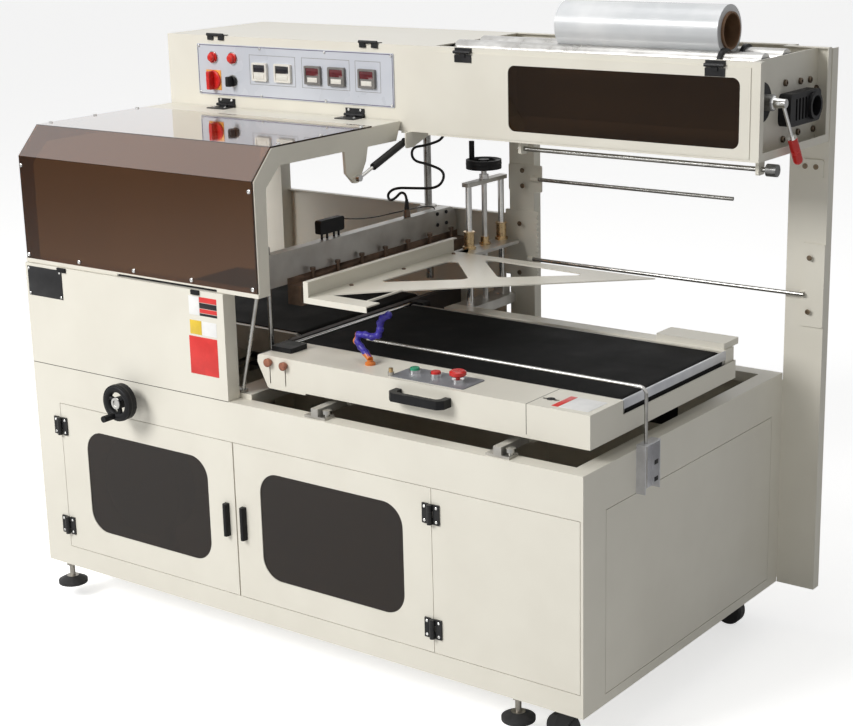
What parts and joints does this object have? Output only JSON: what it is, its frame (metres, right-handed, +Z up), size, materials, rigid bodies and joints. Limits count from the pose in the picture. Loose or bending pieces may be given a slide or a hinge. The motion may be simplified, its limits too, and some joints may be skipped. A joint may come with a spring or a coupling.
{
  "type": "side sealer",
  "caption": "Automatic side sealer: cabinet on castors, sealing jaw under a tilting smoked hood, infeed belt table, triangular film plate, film box and control box above.",
  "frame": {"origin": "middle of the footprint on the floor, under the whole machine", "axes": "+X from the exit end to the infeed end, +Y from the operator's side to the back, +Z up"},
  "size_m": [1.778, 1.029, 1.5331],
  "materials": {
    "aluminium": "mill finish",
    "belt": "woven belt face",
    "black_metal": "satin black",
    "black_plastic": "moulded black",
    "chrome": "polished",
    "copper_brown": "heat-browned steel",
    "cream": "satin powder coat",
    "cream_door": "satin powder coat",
    "dark_rubber": "heat-proof strip",
    "film": "clear wound film",
    "green_plastic": "moulded green",
    "iron": "dark painted casting",
    "label_grey": "satin printed plate",
    "red_plastic": "moulded red",
    "smoked": "clear smoked sheet",
    "steel": "brushed",
    "wheel_rubber": "moulded tread"
  },
  "bodies": {
    "base": {"cabinet_frame": "cream", "cabinet_panels": "cream", "floor_fittings": "steel", "rear_columns": "cream", "guide_rods": "chrome", "control_box": "cream", "label_panel": "label_grey", "hinge_bases": "black_metal", "film_box": "cream", "bearing_housings": "black_plastic", "front_cover": "cream", "drive_units": "iron", "cross_members": "cream", "lower_jaw": "dark_rubber", "jaw_cable": "black_plastic"},
    "left_door_body": {"left_door": "cream_door", "left_door_fittings": "smoked"},
    "right_door_body": {"right_door": "cream_door", "right_door_fittings": "smoked"},
    "main_switch_body": {"main_switch": "red_plastic"},
    "selector_body": {"selector_switch": "black_plastic"},
    "lid_body": {"control_lid": "cream"},
    "film_door_body": {"film_door": "cream"},
    "cradle_front_body": {"cradle_roller_front": "aluminium"},
    "cradle_rear_body": {"cradle_roller_rear": "aluminium"},
    "film_roll_body": {"film_roll": "film"},
    "clamp_lever_body": {"clamp_lever": "chrome"},
    "hood_body": {"hood_frame": "cream", "hood_glazing": "smoked"},
    "strut_cylinder_body": {"strut_cylinder": "black_metal"},
    "strut_rod_body": {"strut_rod": "chrome"},
    "exit_conveyor": {"exit_frame": "steel", "exit_belt": "belt"},
    "exit_left_roller_body": {"exit_roller_left": "steel"},
    "exit_right_roller_body": {"exit_roller_right": "steel"},
    "front_handwheel_body": {"front_handwheel": "black_plastic"},
    "lift_screw_body": {"lift_screw": "steel"},
    "jaw_body": {"jaw_beam": "aluminium", "sealing_head": "copper_brown"},
    "infeed_table": {"infeed_tray": "cream", "infeed_covers": "cream", "infeed_belt": "belt", "infeed_metal": "chrome", "table_fittings": "black_plastic"},
    "nose_roller_body": {"infeed_nose_roller": "steel"},
    "drive_roller_body": {"infeed_drive_roller": "aluminium"},
    "start_button_body": {"start_button": "green_plastic"},
    "stop_button_body": {"stop_button": "red_plastic"},
    "emergency_stop_body": {"emergency_stop": "red_plastic"},
    "film_head": {"film_plate": "cream"},
    "head_handwheel_body": {"head_handwheel": "black_plastic"},
    "scrap_reel_body": {"scrap_reel": "black_metal"},
    "castor_front_right_fork_body": {"castor_front_right_fork": "black_metal"},
    "castor_front_right_wheel_body": {"castor_front_right_wheel": "wheel_rubber"},
    "castor_back_right_fork_body": {"castor_back_right_fork": "black_metal"},
    "castor_back_right_wheel_body": {"castor_back_right_wheel": "wheel_rubber"},
    "castor_front_left_fork_body": {"castor_front_left_fork": "black_metal"},
    "castor_front_left_wheel_body": {"castor_front_left_wheel": "wheel_rubber"},
    "castor_back_left_fork_body": {"castor_back_left_fork": "black_metal"},
    "castor_back_left_wheel_body": {"castor_back_left_wheel": "wheel_rubber"}
  },
  "joints": [
    {"name": "left_door_swing", "type": "hinge", "parent": "base", "child": "left_door_body", "pos_m": [-0.801, -0.4275, 0.355], "axis": [0, 0, -1], "range_deg": [0, 110]},
    {"name": "right_door_swing", "type": "hinge", "parent": "base", "child": "right_door_body", "pos_m": [0.374, -0.4275, 0.355], "axis": [0, 0, 1], "range_deg": [0, 110]},
    {"name": "hood_tilt", "type": "hinge", "parent": "base", "child": "hood_body", "pos_m": [-0.498, 0.123, 1.25], "axis": [-1, 0, 0], "range_deg": [0, 60]},
    {"name": "strut_swing", "type": "hinge", "parent": "base", "child": "strut_cylinder_body", "pos_m": [-0.089, 0.1195, 1.195], "axis": [-1, 0, 0], "range_deg": [0, 60]},
    {"name": "strut_extend", "type": "slide", "parent": "strut_cylinder_body", "child": "strut_rod_body", "axis": [0, -0.9439, -0.3304], "range_m": [0, 0.056]},
    {"name": "lid_lift", "type": "hinge", "parent": "base", "child": "lid_body", "pos_m": [-0.456, 0.125, 1.431], "axis": [1, 0, 0], "range_deg": [0, 80]},
    {"name": "film_door_lift", "type": "hinge", "parent": "base", "child": "film_door_body", "pos_m": [0.411, 0.1225, 1.418], "axis": [-1, 0, 0], "range_deg": [0, 100]},
    {"name": "main_switch_turn", "type": "hinge", "parent": "base", "child": "main_switch_body", "pos_m": [-0.723, 0.1195, 1.313], "axis": [0, -1, 0], "range_deg": [-90, 0]},
    {"name": "selector_turn", "type": "hinge", "parent": "base", "child": "selector_body", "pos_m": [-0.655, 0.1195, 1.313], "axis": [0, -1, 0], "range_deg": [-45, 45]},
    {"name": "cradle_front_spin", "type": "hinge", "parent": "base", "child": "cradle_front_body", "pos_m": [0.411, 0.2425, 1.41], "axis": [1, 0, 0], "continuous": true},
    {"name": "cradle_rear_spin", "type": "hinge", "parent": "base", "child": "cradle_rear_body", "pos_m": [0.411, 0.3465, 1.41], "axis": [1, 0, 0], "continuous": true},
    {"name": "film_roll_spin", "type": "hinge", "parent": "base", "child": "film_roll_body", "pos_m": [0.484, 0.2945, 1.47508], "axis": [1, 0, 0], "continuous": true},
    {"name": "clamp_lever_turn", "type": "hinge", "parent": "base", "child": "clamp_lever_body", "pos_m": [0.851, 0.1975, 1.335], "axis": [1, 0, 0], "range_deg": [-25, 60]},
    {"name": "exit_lift", "type": "slide", "parent": "base", "child": "exit_conveyor", "axis": [0, 0, 1], "range_m": [-0.015, 0.015]},
    {"name": "front_handwheel_turn", "type": "hinge", "parent": "base", "child": "front_handwheel_body", "pos_m": [-0.529, -0.4205, 0.608], "axis": [0, -1, 0], "continuous": true},
    {"name": "lift_screw_turn", "type": "hinge", "parent": "base", "child": "lift_screw_body", "pos_m": [-0.529, 0.0595, 0.66], "axis": [0, 0, 1], "continuous": true},
    {"name": "exit_left_roller_spin", "type": "hinge", "parent": "exit_conveyor", "child": "exit_left_roller_body", "pos_m": [-0.8477, 0.0795, 0.7357], "axis": [0, 1, 0], "continuous": true},
    {"name": "exit_right_roller_spin", "type": "hinge", "parent": "exit_conveyor", "child": "exit_right_roller_body", "pos_m": [-0.2223, 0.0795, 0.7357], "axis": [0, 1, 0], "continuous": true},
    {"name": "jaw_stroke", "type": "slide", "parent": "base", "child": "jaw_body", "axis": [0, 0, -1], "range_m": [0, 0.08]},
    {"name": "infeed_slide", "type": "slide", "parent": "base", "child": "infeed_table", "axis": [0, -1, 0], "range_m": [0, 0.06]},
    {"name": "nose_roller_spin", "type": "hinge", "parent": "infeed_table", "child": "nose_roller_body", "pos_m": [-0.153, 0.0035, 0.7447], "axis": [0, 1, 0], "continuous": true},
    {"name": "drive_roller_spin", "type": "hinge", "parent": "infeed_table", "child": "drive_roller_body", "pos_m": [0.7147, 0.0035, 0.7327], "axis": [0, 1, 0], "continuous": true},
    {"name": "start_button_press", "type": "slide", "parent": "infeed_table", "child": "start_button_body", "axis": [0, 0, -1], "range_m": [0, 0.003], "stiffness_N_per_m": 800, "springref_m": -0.001},
    {"name": "stop_button_press", "type": "slide", "parent": "infeed_table", "child": "stop_button_body", "axis": [0, 0, -1], "range_m": [0, 0.003], "stiffness_N_per_m": 800, "springref_m": -0.001},
    {"name": "emergency_stop_press", "type": "slide", "parent": "infeed_table", "child": "emergency_stop_body", "axis": [0, 0, -1], "range_m": [0, 0.004], "stiffness_N_per_m": 800, "springref_m": -0.001},
    {"name": "film_head_lift", "type": "slide", "parent": "infeed_table", "child": "film_head", "axis": [0, 0, 1], "range_m": [-0.02, 0.04]},
    {"name": "head_handwheel_turn", "type": "hinge", "parent": "infeed_table", "child": "head_handwheel_body", "pos_m": [-0.032, 0.3735, 1.1], "axis": [0, 0, 1], "continuous": true},
    {"name": "scrap_reel_spin", "type": "hinge", "parent": "base", "child": "scrap_reel_body", "pos_m": [-0.589, -0.3205, 0.35], "axis": [0, 1, 0], "continuous": true},
    {"name": "castor_front_right_swivel", "type": "hinge", "parent": "base", "child": "castor_front_right_fork_body", "pos_m": [0.695, -0.3525, 0.08], "axis": [0, 0, 1], "continuous": true},
    {"name": "castor_front_right_roll", "type": "hinge", "parent": "castor_front_right_fork_body", "child": "castor_front_right_wheel_body", "pos_m": [0.669, -0.3525, 0.0375], "axis": [0, 1, 0], "continuous": true},
    {"name": "castor_back_right_swivel", "type": "hinge", "parent": "base", "child": "castor_back_right_fork_body", "pos_m": [0.695, 0.4155, 0.08], "axis": [0, 0, 1], "continuous": true},
    {"name": "castor_back_right_roll", "type": "hinge", "parent": "castor_back_right_fork_body", "child": "castor_back_right_wheel_body", "pos_m": [0.669, 0.4155, 0.0375], "axis": [0, 1, 0], "continuous": true},
    {"name": "castor_front_left_swivel", "type": "hinge", "parent": "base", "child": "castor_front_left_fork_body", "pos_m": [-0.801, -0.1455, 0.08], "axis": [0, 0, 1], "continuous": true},
    {"name": "castor_front_left_roll", "type": "hinge", "parent": "castor_front_left_fork_body", "child": "castor_front_left_wheel_body", "pos_m": [-0.775, -0.1455, 0.0375], "axis": [0, 1, 0], "continuous": true},
    {"name": "castor_back_left_swivel", "type": "hinge", "parent": "base", "child": "castor_back_left_fork_body", "pos_m": [-0.801, 0.4155, 0.08], "axis": [0, 0, 1], "continuous": true},
    {"name": "castor_back_left_roll", "type": "hinge", "parent": "castor_back_left_fork_body", "child": "castor_back_left_wheel_body", "pos_m": [-0.775, 0.4155, 0.0375], "axis": [0, 1, 0], "continuous": true}
  ],
  "couplings": [
    {"joint": "strut_swing", "follows": "hood_tilt", "ratio": 0.9736},
    {"joint": "strut_extend", "follows": "hood_tilt", "m_per_rad": 0.052317},
    {"joint": "front_handwheel_turn", "follows": "exit_lift", "rad_per_m": 628.32},
    {"joint": "lift_screw_turn", "follows": "exit_lift", "rad_per_m": 628.32},
    {"joint": "head_handwheel_turn", "follows": "film_head_lift", "rad_per_m": 628.32}
  ]
}
